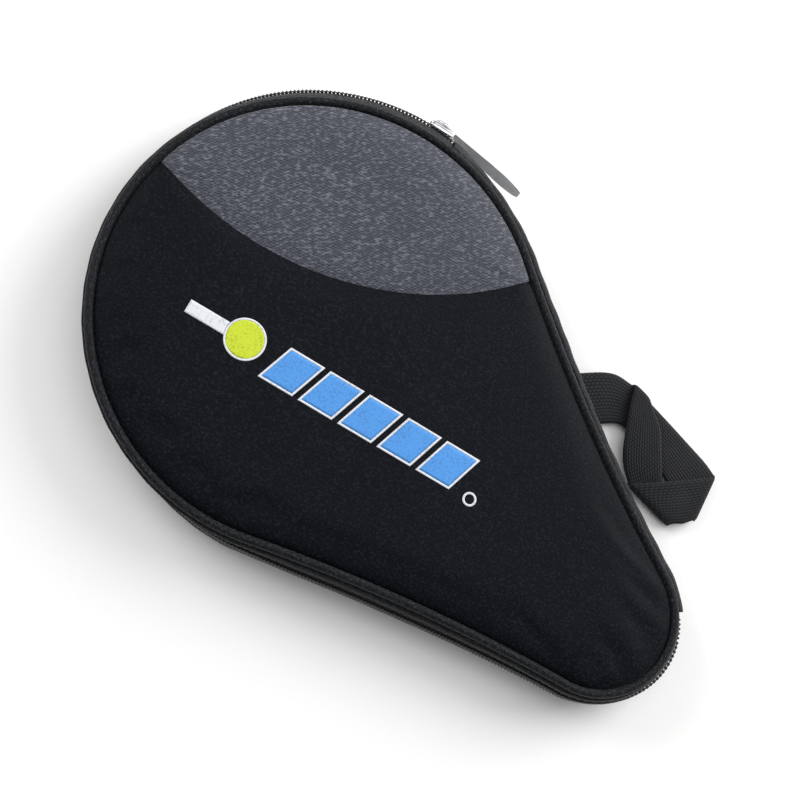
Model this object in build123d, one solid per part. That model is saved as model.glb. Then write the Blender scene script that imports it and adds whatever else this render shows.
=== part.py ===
from build123d import *
import math
import os

os.makedirs("parts", exist_ok=True)

# Table-tennis bat case: two padded teardrop shells, joined along one flank by a cloth gusset
# and round the rest of the edge by a zip.  Millimetres, +Z up through the front panel.
# Origin: centre of the round head, on the face that the case lies on.
# +X runs from the head to the narrow tail, +Y towards the gusset that acts as the hinge.

# ---------------------------------------------------------------- outline
head_radius = 89.0            # panel edge round the bat's blade
tail_radius = 30.0            # panel edge round the bat's grip
centre_distance = 162.0       # head centre to tail centre
flank_radius = 800.0          # the two long sides are slightly hollow
case_height = 30.0            # outer face to outer face, zipped shut

# ---------------------------------------------------------------- padded panels
skin = 1.0                    # outer cloth with its backing board
edge_round = 3.2              # how far the padded edge rolls over
edge_straight = 2.6           # upright part of the rim above the roll
foam = 4.0
lining = 0.8
seam_gap = 0.1                # sewn pieces lie this far apart

# ---------------------------------------------------------------- edge of each shell
piping_radius = 1.8
tape = 1.2                    # zip tape and gusset cloth
tape_stand_off = 3.0          # panel edge to the inner face of the wall
flange = 0.8                  # turned-in edge of the wall, sewn under the piping
flange_reach = 1.2            # how far it goes in past the panel edge
binding_width = 2.2           # tape that covers the raw seam inside
binding_height = 3.0

# ---------------------------------------------------------------- zip
coil_proud = 1.2              # how far the coil stands off the tape
coil_width = 2.6              # one row of teeth
coil_gap = 1.0                # clear way between the two rows, for the slider's web
gusset_head_angle = 99.0      # where the gusset takes over from the zip, about the head centre
gusset_tail_angle = 46.0      # the same, about the tail centre
end_tab_length = 9.0
end_tab_thickness = 1.2

slider_angle = 103.4          # slider at rest, about the head centre
slider_length = 12.0
slider_half_height = 4.2
slider_plate = 1.2
slider_corner = 2.52          # rounding of the plates' corners
slider_clearance = 1.0        # plates to the coil and to the tape
web_length = 3.0
web_height = 0.5
bridge_length = 8.0
bridge_width = 2.0
bridge_bar = 1.0
bridge_corner = 0.8
puller_length = 39.0
puller_height = 7.0
puller_thickness = 1.0
puller_corner = 2.8
pin_radius = 0.6
pin_clearance = 0.2
arm_clearance = 0.3

# ---------------------------------------------------------------- hinge gusset
flex_height = 5.4             # soft middle strip that bends
flex_clearance = 0.3

# ---------------------------------------------------------------- panel seam and emblem
seam_centre = (-76.3, 132.5)  # the dark grey top panel ends at an arc about this point
seam_radius = 135.5
print_thickness = 0.25
emblem_turn = 15.8            # the emblem's row, from +X
row_corner = (-1.1, -34.1)
row_length = 90.6
bar_count = 5
bar_width = 13.6
bar_height = 14.8
bar_slant = 5.2
outline_width = 0.9
disc_centre = (-15.6, -28.8)
disc_radius = 7.6
grip_length = 17.0
grip_width = 5.6
dot_centre = (90.6, -8.2)
dot_radius = 2.9

# ---------------------------------------------------------------- wrist strap
strap_width = 20.0
strap_thickness = 1.4
strap_gap = 0.2
strap_floor = 0.4
strap_root = 97.5             # x of the sewn end's middle
strap_sewn_height = 9.0
turn_inset = 2.8              # the bridging block stops this far inside each end of a fold
apex_head = (110.6, 86.8)     # fold furthest from the case, beside the head
apex_tail = (130.4, 86.8)
under_head = (111.4, 86.0)
crossing = (121.3, 72.6)      # where the upper leg leaves the other
bend = (127.3, 62.3)
slit_in = (149.2, 65.4)
slit_out = (152.4, 67.2)
near_fold_head = (139.4, 55.4)
near_fold_tail = (163.6, 56.2)
end_curve = [(168.0, 59.7), (170.2, 66.0)]
far_corner = (165.5, 86.6)
hidden_edge = (160.0, 80.5)

mid_height = case_height / 2
edge_height = edge_round + edge_straight            # top of one shell's panel rim
piping_offset = piping_radius + seam_gap
piping_height = edge_height - piping_radius
wall_in = tape_stand_off
wall_out = tape_stand_off + tape
coil_out = wall_out + coil_proud
wall_base = edge_height + flange
coil_top = mid_height - coil_gap / 2
coil_base = coil_top - coil_width


def flank_direction():
    """From the head's centre to the centre of the hollow flank's arc, which touches both ends."""
    head_reach = head_radius + flank_radius
    tail_reach = tail_radius + flank_radius
    cosine = (head_reach**2 + centre_distance**2 - tail_reach**2) / (2 * head_reach * centre_distance)
    angle = math.acos(cosine)
    return Vector(math.cos(angle), math.sin(angle))


to_head = flank_direction()
flank_centre = to_head * (head_radius + flank_radius)
tail_centre = Vector(centre_distance, 0)


def outline(offset):
    """Teardrop face at z = 0: head arc, hollow flank, tail arc, hollow flank."""
    head = head_radius + offset
    tail = tail_radius + offset
    flank = flank_radius - offset
    to_tail = (flank_centre - tail_centre).normalized()
    middle = flank_centre - (to_head + to_tail).normalized() * flank
    head_point = to_head * head
    tail_point = tail_centre + to_tail * tail

    def below(point):
        return Vector(point.X, -point.Y)

    edges = [
        ThreePointArc(below(head_point), Vector(-head, 0), head_point),
        ThreePointArc(head_point, middle, tail_point),
        ThreePointArc(tail_point, tail_centre + Vector(tail, 0), below(tail_point)),
        ThreePointArc(below(tail_point), below(middle), below(head_point)),
    ]
    return make_face(edges)


def prism(offset, low, high):
    return extrude(Pos(0, 0, low) * outline(offset), high - low)


def ring(inner, outer, low, high):
    return prism(outer, low, high) - prism(inner, low, high)


def polar(radius, degrees, centre_x=0.0):
    angle = math.radians(degrees)
    return (centre_x + radius * math.cos(angle), radius * math.sin(angle))


def polygon(points, low, high):
    return extrude(Pos(0, 0, low) * make_face(Polyline(*points, close=True)), high - low)


reach = 2 * head_radius
gusset_zone = polygon(
    [
        (0, 0),
        polar(reach, gusset_head_angle),
        polar(reach, gusset_tail_angle, centre_distance),
        (centre_distance, 0),
    ],
    -case_height,
    2 * case_height,
)


def flip(shape):
    """The front shell is the back shell turned over about mid height."""
    return mirror(shape, about=Plane.XY.offset(mid_height))


def save(name, shape):
    shape.label = name
    export_step(shape, "parts/" + name + ".step")


# ---------------------------------------------------------------- shells
def rounded(offset, low, high, radius):
    block = prism(offset, low, high)
    rim = block.edges().group_by(Axis.Z)[0]
    return fillet(rim, radius)


def panel_skin():
    outer = rounded(0, 0, edge_height, edge_round)
    inner = rounded(-skin, skin, edge_height + 1, edge_round - skin)
    return outer - inner


def panel_foam():
    inset = skin + seam_gap
    return rounded(-inset, inset, inset + foam - seam_gap, edge_round - inset)


def panel_lining():
    return prism(-skin - seam_gap, skin + foam + seam_gap, edge_height)


def piping():
    path = outline(piping_offset).face().outer_wire()
    path = Pos(0, 0, piping_height) * path
    start = path.position_at(0)
    section = Plane(origin=start, z_dir=path.tangent_at(0)) * Circle(piping_radius)
    return sweep(section, path=path)


def edge_wall(top):
    """Wall and its turned-in flange, all the way round."""
    wall = ring(wall_in, wall_out, edge_height, top)
    turned_in = ring(-flange_reach, wall_out, edge_height, wall_base)
    return wall + turned_in


def seam_binding():
    return ring(wall_in - binding_width, wall_in, wall_base, wall_base + binding_height)


back_shell = {
    "panel": panel_skin(),
    "foam": panel_foam(),
    "lining": panel_lining(),
    "piping": piping(),
    "zip_tape": edge_wall(coil_top) - gusset_zone,
    "zip_coil": ring(wall_out, coil_out, coil_base, coil_top) - gusset_zone,
    "seam_binding": seam_binding(),
}
for piece, shape in back_shell.items():
    save("back_" + piece, shape)
    if piece != "panel":
        save("front_" + piece, flip(shape))

front_skin = flip(back_shell["panel"])
seam_cut = extrude(Pos(seam_centre[0], seam_centre[1], mid_height) * Circle(seam_radius), case_height)
save("front_upper_panel", front_skin & seam_cut)
save("front_main_panel", front_skin - seam_cut)

# ---------------------------------------------------------------- gusset on the hinge side
flex_low = mid_height - flex_height / 2
flex_high = mid_height + flex_height / 2
gusset_half = edge_wall(flex_low - flex_clearance) & gusset_zone
save("gusset_lower", gusset_half)
save("gusset_upper", flip(gusset_half))
save("gusset_flex", ring(wall_in, wall_out, flex_low, flex_high) & gusset_zone)


# ---------------------------------------------------------------- zip end and slider
def beside(offset, degrees, centre_x, solid):
    """Place a solid drawn with x outwards and y along the edge, zero on the panel edge."""
    radius = (tail_radius if centre_x else head_radius) + offset
    x, y = polar(radius, degrees, centre_x)
    return Pos(x, y, mid_height) * Rot(0, 0, degrees) * solid


def block(x_low, x_high, y_low, y_high, z_low, z_high):
    size = (x_high - x_low, y_high - y_low, z_high - z_low)
    middle = ((x_low + x_high) / 2, (y_low + y_high) / 2, (z_low + z_high) / 2)
    return Pos(*middle) * Box(*size)


end_tab = ring(coil_out + seam_gap, coil_out + seam_gap + end_tab_thickness, 0, case_height)
end_tab_angle = math.degrees(end_tab_length / (tail_radius + coil_out))
end_tab_sector = polygon(
    [
        (centre_distance, 0),
        polar(reach, gusset_tail_angle - end_tab_angle, centre_distance),
        polar(reach, gusset_tail_angle, centre_distance),
    ],
    coil_base - coil_width,
    mid_height - coil_gap,
)
save("zip_end_tab", end_tab & end_tab_sector)

plate_inner_in = wall_in - slider_clearance - slider_plate
plate_outer_in = coil_out + slider_clearance
plate_outer_out = plate_outer_in + slider_plate
half_slider = slider_length / 2


def slider_body():
    height = slider_half_height
    inner = block(plate_inner_in, plate_inner_in + slider_plate, -half_slider, half_slider, -height, height)
    outer = block(plate_outer_in, plate_outer_out, -half_slider, half_slider, -height, height)
    outer = fillet(outer.edges().filter_by(Axis.X), slider_corner)
    inner = fillet(inner.edges().filter_by(Axis.X), slider_corner)
    half_web = web_length / 2
    web_in = plate_inner_in + slider_plate / 2
    web_out = plate_outer_in + slider_plate / 2
    web = block(web_in, web_out, -half_web, half_web, -web_height / 2, web_height / 2)
    return inner + outer + web


pin_offset = plate_outer_out + pin_clearance + pin_radius
bridge_top = pin_offset + pin_radius + pin_clearance


def slider_bridge():
    half_length = bridge_length / 2
    half_width = bridge_width / 2
    arch = block(plate_outer_out, bridge_top + bridge_bar, -half_length, half_length, -half_width, half_width)
    arch = fillet(arch.edges().group_by(Axis.X)[-1].filter_by(Axis.Z), bridge_corner)
    opening = half_length - bridge_bar
    return arch - block(plate_outer_out, bridge_top, -opening, opening, -half_width, half_width)


def pull_tab():
    """Lies back along the zip; the eye's pin passes under the bridge."""
    arm_low = bridge_width / 2 + arm_clearance
    half_height = puller_height / 2
    half_thick = puller_thickness / 2
    root = bridge_length / 2 + bridge_bar
    tab = block(-half_thick, half_thick, -puller_length, -root, -half_height, half_height)
    far = tab.edges().filter_by(Axis.X).group_by(Axis.Y)[0]
    tab = fillet(far, puller_corner)
    arm = block(-half_thick, half_thick, -root, 0, arm_low, half_height)
    arms = arm + mirror(arm, about=Plane.XY)
    pin = Cylinder(pin_radius, puller_height)
    return Pos(pin_offset, 0, 0) * (tab + arms + pin)


save("zip_slider", beside(0, slider_angle, 0, slider_body()))
save("slider_bridge", beside(0, slider_angle, 0, slider_bridge()))
save("pull_tab", beside(0, slider_angle, 0, pull_tab()))


# ---------------------------------------------------------------- emblem printed on the front
def on_front(centre, shape, turn=emblem_turn):
    return extrude(Pos(centre[0], centre[1], case_height) * Rot(0, 0, turn) * shape, print_thickness)


def bar_face(index, grow=0.0):
    """One slanted bar of the row, grown outwards by the width of its pale outline."""
    step = (row_length - bar_slant - bar_width) / (bar_count - 1)
    left = index * step
    lean = bar_slant / bar_height
    side = grow * math.hypot(1, lean)
    low = left - side - lean * grow
    high = left + bar_slant - side + lean * grow
    width = bar_width + 2 * side
    corners = [(low, -grow), (low + width, -grow), (high + width, bar_height + grow), (high, bar_height + grow)]
    return make_face(Polyline(*corners, close=True))


bars = [bar_face(index) for index in range(bar_count)]
rims = [bar_face(index, outline_width) - bar_face(index) for index in range(bar_count)]
save("emblem_bars", Compound([on_front(row_corner, face) for face in bars]))
save("emblem_bar_rims", Compound([on_front(row_corner, face) for face in rims]))
save("emblem_disc", on_front(disc_centre, Circle(disc_radius)))
disc_rim = Circle(disc_radius + outline_width) - Circle(disc_radius)
grip_start = disc_radius + outline_width
grip = Pos(-grip_start - grip_length / 2, 0) * Rectangle(grip_length, grip_width)
grip = grip - Circle(disc_radius + outline_width + seam_gap)
save("emblem_disc_rim", on_front(disc_centre, disc_rim))
save("emblem_grip", on_front(disc_centre, grip))
save("emblem_dot", on_front(dot_centre, Circle(dot_radius) - Circle(dot_radius - outline_width)))


# ---------------------------------------------------------------- wrist strap
def flank_point(x, offset):
    """Point on the hinge-side flank, offset from the panel edge."""
    return (x, flank_centre.Y - math.sqrt((flank_radius - offset)**2 - (x - flank_centre.X)**2))


def level(index):
    low = strap_floor + index * (strap_thickness + strap_gap)
    return low, low + strap_thickness


hinge_slope = math.asin((head_radius - tail_radius) / centre_distance)
half_root = strap_width / 2 * math.cos(hinge_slope)
root_head = flank_point(strap_root - half_root, wall_out)
root_tail = flank_point(strap_root + half_root, wall_out)
strap_layers = [
    polygon([root_head, under_head, apex_tail, crossing, root_tail], *level(0)),
    polygon([near_fold_head, near_fold_tail, *end_curve, far_corner, hidden_edge], *level(0)),
    polygon([root_head, apex_head, far_corner, end_curve[1], slit_out, crossing, root_tail], *level(1)),
    polygon([apex_head, crossing, bend, near_fold_head, near_fold_tail, slit_in, apex_tail], *level(2)),
]


def fold_block(first, second, low, high):
    """Bridges two layers just inside the fold from first to second, with the loop on its left."""
    start = Vector(*first)
    run = Vector(*second) - start
    left = Vector(-run.Y, run.X).normalized()
    middle = start + run / 2 + left * strap_thickness
    turn = math.degrees(math.atan2(run.Y, run.X))
    body = Box(run.length - 2 * turn_inset, strap_thickness, high - low)
    return Pos(middle.X, middle.Y, (low + high) / 2) * Rot(0, 0, turn) * body


def mid_level(index):
    return sum(level(index)) / 2


turns = [
    fold_block(apex_tail, apex_head, mid_level(0), mid_level(2)),
    fold_block(near_fold_head, near_fold_tail, mid_level(0), mid_level(2)),
    fold_block(end_curve[1], far_corner, mid_level(0), mid_level(1)),
]
sewn_end = ring(wall_out, wall_out + strap_thickness, mid_level(0), strap_sewn_height) & polygon(
    [root_head, (root_head[0], reach), (root_tail[0], reach), root_tail], 0, case_height
)
strap = sewn_end
for turn in turns:
    strap = strap + turn
for layer in strap_layers:
    strap = strap + (layer - prism(wall_out + strap_gap, 0, case_height))
save("wrist_strap", strap)
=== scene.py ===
import bpy
import bmesh
import math
import numpy as np
from mathutils import Matrix, Vector


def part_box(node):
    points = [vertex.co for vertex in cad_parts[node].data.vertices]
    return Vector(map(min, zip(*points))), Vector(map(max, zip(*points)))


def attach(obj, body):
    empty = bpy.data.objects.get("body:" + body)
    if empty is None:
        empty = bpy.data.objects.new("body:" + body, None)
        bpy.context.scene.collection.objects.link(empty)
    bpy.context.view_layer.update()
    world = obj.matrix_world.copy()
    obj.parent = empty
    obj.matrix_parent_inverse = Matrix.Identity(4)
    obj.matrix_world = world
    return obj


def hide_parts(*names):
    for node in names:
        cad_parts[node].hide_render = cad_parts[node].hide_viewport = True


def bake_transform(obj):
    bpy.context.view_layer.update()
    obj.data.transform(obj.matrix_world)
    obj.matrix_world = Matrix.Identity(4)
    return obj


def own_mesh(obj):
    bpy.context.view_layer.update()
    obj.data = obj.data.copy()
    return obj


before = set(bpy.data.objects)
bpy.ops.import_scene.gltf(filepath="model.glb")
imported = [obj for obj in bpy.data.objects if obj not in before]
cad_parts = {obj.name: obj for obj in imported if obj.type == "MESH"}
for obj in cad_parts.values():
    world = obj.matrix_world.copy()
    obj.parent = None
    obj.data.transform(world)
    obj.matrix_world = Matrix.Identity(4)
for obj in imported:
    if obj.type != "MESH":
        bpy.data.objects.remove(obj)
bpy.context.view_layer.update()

# Soft case for one table-tennis bat, lying on its back. Settings are in millimetres,
# and makePiece turns them into metres on the way into Blender.
mm = 0.001
tau = 2 * np.pi

view = {"place": (3.41, -172.65, 636.89), "aim": (44.52, 4.19, 15.0), "roll": 58.84, "lens": 72.0}
studio = {
    "floorSize": 6000.0,
    "floorColour": (0.93, 0.93, 0.925),
    "worldColour": (1.0, 1.0, 1.0),
    "worldStrength": 0.38,
}
# name: place, size, watts, all aimed at the middle of the case
lamps = {
    "keySoftbox": ((480.0, 1200.0, 720.0), 1300.0, 22.0),
    "overheadSoftbox": ((60.0, 300.0, 1500.0), 1400.0, 6.0),
    "sideFill": ((-1200.0, -100.0, 800.0), 900.0, 11.0),
}


def makeCamera():
    data = bpy.data.cameras.new("bookCamera")
    data.lens = view["lens"]
    data.sensor_width = 36.0
    data.clip_start = 0.01
    camera = bpy.data.objects.new("bookCamera", data)
    bpy.context.scene.collection.objects.link(camera)
    place = Vector(view["place"]) * mm
    aim = Vector(view["aim"]) * mm
    roll = Matrix.Rotation(math.radians(view["roll"]), 3, "Z")
    turn = (aim - place).to_track_quat("-Z", "Y").to_matrix() @ roll
    camera.matrix_world = Matrix.Translation(place) @ turn.to_4x4()
    bpy.context.scene.camera = camera


def makeLamp(name, place, size, watts):
    data = bpy.data.lights.new(name, "AREA")
    data.shape = "DISK"
    data.size = size * mm
    data.energy = watts
    lamp = bpy.data.objects.new(name, data)
    bpy.context.scene.collection.objects.link(lamp)
    place = Vector(place) * mm
    turn = (Vector(view["aim"]) * mm - place).to_track_quat("-Z", "Y").to_matrix()
    lamp.matrix_world = Matrix.Translation(place) @ turn.to_4x4()


def makeWorld():
    bpy.context.scene.view_settings.view_transform = "Standard"
    world = bpy.data.worlds.new("paleRoom")
    bpy.context.scene.world = world
    world.use_nodes = True
    back = world.node_tree.nodes["Background"]
    back.inputs["Color"].default_value = (*studio["worldColour"], 1.0)
    back.inputs["Strength"].default_value = studio["worldStrength"]


makeCamera()
makeWorld()
for lampName, (lampPlace, lampSize, lampWatts) in lamps.items():
    makeLamp(lampName, lampPlace, lampSize, lampWatts)
print("camera and lights set")


# Short way to write a node tree: each call adds a node and links what it is given
class Graph:
    def __init__(self, name):
        self.material = bpy.data.materials.new(name)
        self.material.use_nodes = True
        self.tree = self.material.node_tree
        self.shader = self.tree.nodes["Principled BSDF"]

    def put(self, socket, value):
        if isinstance(value, bpy.types.NodeSocket):
            self.tree.links.new(value, socket)
        elif value is not None:
            socket.default_value = value

    def node(self, kind, inputs=(), **settings):
        made = self.tree.nodes.new(kind)
        for key, value in settings.items():
            setattr(made, key, value)
        for key, value in dict(inputs).items():
            self.put(made.inputs[key], value)
        return made

    def math(self, work, first, second=None, third=None, clamp=False):
        made = self.node("ShaderNodeMath", operation=work, use_clamp=clamp)
        for index, value in enumerate((first, second, third)):
            self.put(made.inputs[index], value)
        return made.outputs[0]

    def mix(self, factor, first, second):
        made = self.node("ShaderNodeMix", data_type="RGBA")
        self.put(made.inputs["Factor"], factor)
        self.put(made.inputs[6], first)
        self.put(made.inputs[7], second)
        return made.outputs[2]

    def noise(self, place, scale, detail=2.0, rough=0.5):
        inputs = {"Vector": place, "Scale": scale, "Detail": detail, "Roughness": rough}
        return self.node("ShaderNodeTexNoise", inputs).outputs["Fac"]

    def remap(self, value, low, high, toLow, toHigh):
        inputs = {"Value": value, "From Min": low, "From Max": high, "To Min": toLow, "To Max": toHigh}
        return self.node("ShaderNodeMapRange", inputs).outputs["Result"]

    # Coordinates in pattern units: scale is how many units there are in a metre, each way
    def place(self, source="Object", scale=(1.0, 1.0, 1.0), turn=0.0):
        if source == "Object":
            start = self.node("ShaderNodeTexCoord").outputs["Object"]
        else:
            start = self.node("ShaderNodeUVMap", uv_map="along").outputs["UV"]
        if turn:
            inputs = {"Vector": start, "Rotation": (0.0, 0.0, math.radians(-turn))}
            start = self.node("ShaderNodeMapping", inputs).outputs["Vector"]
        return self.node("ShaderNodeMapping", {"Vector": start, "Scale": scale}).outputs["Vector"]

    def bump(self, height, strength, distance, under=None):
        inputs = {"Height": height, "Strength": strength, "Distance": distance}
        made = self.node("ShaderNodeBump", inputs)
        if under is not None:
            self.put(made.inputs["Normal"], under)
        return made.outputs["Normal"]

    def finish(self, colour, roughness, normal=None, **fixed):
        self.put(self.shader.inputs["Base Color"], colour)
        self.put(self.shader.inputs["Roughness"], roughness)
        if normal is not None:
            self.put(self.shader.inputs["Normal"], normal)
        for key, value in fixed.items():
            self.shader.inputs[key.replace("_", " ")].default_value = value
        return self.material


# Screen colour from 0 to 255 as the linear colour that the shader takes
def rgb(red, green, blue):
    screen = np.array([red, green, blue]) / 255
    linear = np.where(screen < 0.04045, screen / 12.92, ((screen + 0.055) / 1.055) ** 2.4)
    return (*linear.tolist(), 1.0)


# low and high are each cloth's colour in the weave's dips, as painted shade, and on its raised crossings, as
# painted highlight; speck is the colour of single pale threads
wovenLooks = {
    "shellBlack": dict(
        source="Object", turn=16.0, pitch=(0.66, 0.6), low=(2, 3, 7), high=(13, 15, 22), speck=(38, 43, 54),
        speckAmount=0.42, slub=(0.6, 0.9), rough=0.6, sheen=0.06, gloss=0.08, bump=0.00010,
    ),
    "shellGrey": dict(
        source="Object", turn=45.0, pitch=(1.3, 0.6), low=(40, 43, 52), high=(82, 85, 96), speck=(138, 141, 152),
        speckAmount=0.45, slub=(0.7, 0.85), rough=0.6, sheen=0.4, gloss=0.2, bump=0.00014,
    ),
    "wallBlack": dict(
        source="along", turn=0.0, pitch=(0.62, 0.62), low=(5, 6, 8), high=(24, 26, 30), speck=(64, 67, 74),
        speckAmount=0.55, slub=(0.35, 0.9), rough=0.6, sheen=0.10, gloss=0.14, bump=0.00012,
    ),
    "zipTapeCloth": dict(
        source="along", turn=0.0, pitch=(0.9, 0.5), low=(7, 7, 9), high=(27, 28, 31), speck=(44, 45, 49),
        speckAmount=0.3, slub=(0.35, 0.9), rough=0.7, sheen=0.08, gloss=0.15, bump=0.00014,
    ),
    "liningCloth": dict(
        source="Object", turn=0.0, pitch=(0.8, 0.8), low=(17, 17, 20), high=(38, 38, 43), speck=(58, 58, 64),
        speckAmount=0.3, slub=(0.35, 0.9), rough=0.75, sheen=0.1, gloss=0.15, bump=0.00008,
    ),
    "bindingCloth": dict(
        source="along", turn=0.0, pitch=(1.2, 0.5), low=(12, 12, 14), high=(32, 32, 36), speck=(48, 48, 53),
        speckAmount=0.2, slub=(0.35, 0.9), rough=0.7, sheen=0.08, gloss=0.15, bump=0.00012,
    ),
}


# Plain weave. Two crossed waves, one per thread direction, multiplied: the product is high where one
# thread lies over the other. A stretched noise makes single threads lighter or darker, and a soft
# noise clouds the whole cloth
def wovenCloth(name, source, turn, pitch, low, high, speck, speckAmount, slub, rough, sheen, gloss, bump):
    graph = Graph(name)
    place = graph.place(source, (1000 / pitch[0], 1000 / pitch[1], 1000 / pitch[0]), turn)
    split = graph.node("ShaderNodeSeparateXYZ", {"Vector": place})
    across = graph.math("SINE", graph.math("MULTIPLY", split.outputs["X"], math.pi))
    down = graph.math("SINE", graph.math("MULTIPLY", split.outputs["Y"], math.pi))
    weave = graph.math("MULTIPLY_ADD", graph.math("MULTIPLY", across, down), 0.5, 0.5)
    stretched = graph.node("ShaderNodeMapping", {"Vector": place, "Scale": (*slub, 0.3)}).outputs["Vector"]
    threads = graph.noise(stretched, 1.0, 1.0)
    grain = graph.noise(place, 0.55, 2.0)
    clouds = graph.noise(graph.place("Object", (1.0, 1.0, 1.0)), 26.0, 2.0)
    # painted shade and highlight from the weave's relief: the colour runs from low in the dips to high where one
    # thread lies over the other, times each thread's own tone
    lit = graph.math("MULTIPLY", weave, graph.remap(threads, 0.3, 0.7, 0.55, 1.0))
    base = graph.mix(lit, rgb(*low), rgb(*high))
    specks = graph.remap(graph.math("MULTIPLY", threads, grain), 0.24, 0.42, 0.0, speckAmount)
    colour = graph.mix(specks, base, rgb(*speck))
    colour = graph.mix(graph.remap(clouds, 0.35, 0.65, 0.0, 0.16), colour, rgb(*low))
    roughness = graph.remap(grain, 0.3, 0.7, rough - 0.07, rough + 0.07)
    slack = graph.bump(clouds, 0.35, 0.0006)
    relief = graph.math("ADD", weave, graph.math("MULTIPLY", threads, 0.8))
    normal = graph.bump(relief, 0.75, bump, slack)
    fixed = {"Sheen_Weight": sheen, "Sheen_Roughness": 0.4, "Specular_IOR_Level": gloss}
    return graph.finish(colour, roughness, normal, **fixed)


# Flat webbing. Ribs run along the strap, and each rib is a row of slanted stitches: a wave across the
# width times a wave along the length that is shifted half a step on every other rib
def ribbedWebbing(name):
    graph = Graph(name)
    place = graph.place("along", (1000 / 1.7, 1000 / 1.25, 1.0))
    split = graph.node("ShaderNodeSeparateXYZ", {"Vector": place})
    rib = graph.math("ABSOLUTE", graph.math("SINE", graph.math("MULTIPLY", split.outputs["Y"], math.pi)))
    shift = graph.math("MULTIPLY", graph.math("FLOOR", split.outputs["Y"]), 0.5)
    stitch = graph.math("SINE", graph.math("MULTIPLY", graph.math("ADD", split.outputs["X"], shift), tau))
    height = graph.math("MULTIPLY", rib, graph.math("MULTIPLY_ADD", stitch, 0.3, 0.7))
    wear = graph.noise(graph.place("Object", (1.0, 1.0, 1.0)), 90.0, 3.0)
    # painted shade and highlight from the relief: dark in the grooves between ribs and stitches, light on their
    # tops
    colour = graph.mix(height, rgb(8, 9, 11), rgb(30, 32, 36))
    colour = graph.mix(graph.remap(wear, 0.45, 0.7, 0.0, 0.3), colour, rgb(46, 48, 53))
    normal = graph.bump(height, 0.9, 0.0003)
    return graph.finish(
        colour, graph.remap(wear, 0.3, 0.7, 0.55, 0.72), normal, Sheen_Weight=0.08, Specular_IOR_Level=0.15
    )


# Plated die-cast metal: long faint scratches from a stretched noise, and a cloudy gloss
def polishedMetal(name, colour, rough, scratch, metallic=1.0):
    graph = Graph(name)
    scratches = graph.noise(graph.place("Object", (400.0, 3000.0, 3000.0)), 1.0, 4.0)
    clouds = graph.noise(graph.place("Object", (1.0, 1.0, 1.0)), 260.0, 3.0)
    wear = graph.math("MULTIPLY_ADD", scratches, 0.6, graph.math("MULTIPLY", clouds, 0.4))
    gloss = graph.remap(wear, 0.35, 0.65, rough * 0.6, rough * 1.5)
    dull = rgb(*[c * 0.72 for c in colour])
    shade = graph.mix(graph.remap(clouds, 0.35, 0.7, 0.0, 0.35), rgb(*colour), dull)
    normal = graph.bump(scratches, scratch, 0.00005)
    return graph.finish(shade, gloss, normal, Metallic=metallic)


# Moulded nylon coil: dark with a slight waxy gloss that changes from tooth to tooth
def nylonTeeth(name):
    graph = Graph(name)
    spots = graph.noise(graph.place("Object", (1.0, 1.0, 1.0)), 700.0, 2.0)
    colour = graph.mix(spots, rgb(16, 17, 18), rgb(62, 64, 66))
    return graph.finish(colour, graph.remap(spots, 0.3, 0.7, 0.32, 0.5), graph.bump(spots, 0.3, 0.0001))


# Open-cell foam: small cells from a cell texture, with painted shade in each cell's hollow and paler cell walls
# between them
def foamSheet(name):
    graph = Graph(name)
    cells = graph.node("ShaderNodeTexVoronoi", {"Vector": graph.place("Object", (1.0, 1.0, 1.0)), "Scale": 900.0})
    depth = cells.outputs["Distance"]
    # painted shade: darkest in the middle of each cell, where the bump is lowest, and palest on the walls
    colour = graph.mix(graph.remap(depth, 0.0, 0.6, 0.0, 1.0), rgb(24, 24, 25), rgb(62, 62, 64))
    return graph.finish(colour, 0.95, graph.bump(depth, 0.6, 0.0003))


# Rubbery ink over cloth: the weave still shows as a shallow bump, and the ink is thin on some
# threads, which lets a darker tone through
def screenPrint(name, colour, worn):
    graph = Graph(name)
    place = graph.place("Object", (1000 / 0.62, 1000 / 0.62, 1.0), 16.0)
    split = graph.node("ShaderNodeSeparateXYZ", {"Vector": place})
    across = graph.math("SINE", graph.math("MULTIPLY", split.outputs["X"], math.pi))
    down = graph.math("SINE", graph.math("MULTIPLY", split.outputs["Y"], math.pi))
    weave = graph.math("MULTIPLY_ADD", graph.math("MULTIPLY", across, down), 0.5, 0.5)
    thin = graph.noise(place, 0.6, 3.0)
    patches = graph.noise(graph.place("Object", (1.0, 1.0, 1.0)), 160.0, 2.0)
    both = graph.math("MULTIPLY_ADD", thin, 0.7, graph.math("MULTIPLY", patches, 0.3))
    amount = graph.remap(both, 0.5, 0.68, 0.0, worn)
    shade = graph.mix(amount, rgb(*colour), rgb(*[c * 0.62 for c in colour]))
    normal = graph.bump(graph.math("ADD", weave, thin), 0.5, 0.00007)
    return graph.finish(shade, graph.remap(thin, 0.3, 0.7, 0.5, 0.66), normal, Specular_IOR_Level=0.35)


# Seamless paper: very faint mottling so that the sheet isn't one flat value
def paperFloor(name):
    graph = Graph(name)
    grain = graph.noise(graph.place("Object", (1.0, 1.0, 1.0)), 300.0, 3.0)
    pale = (*studio["floorColour"], 1.0)
    dim = (*[c * 0.985 for c in studio["floorColour"]], 1.0)
    return graph.finish(graph.mix(grain, pale, dim), 0.9, graph.bump(grain, 0.05, 0.0002))


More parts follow.
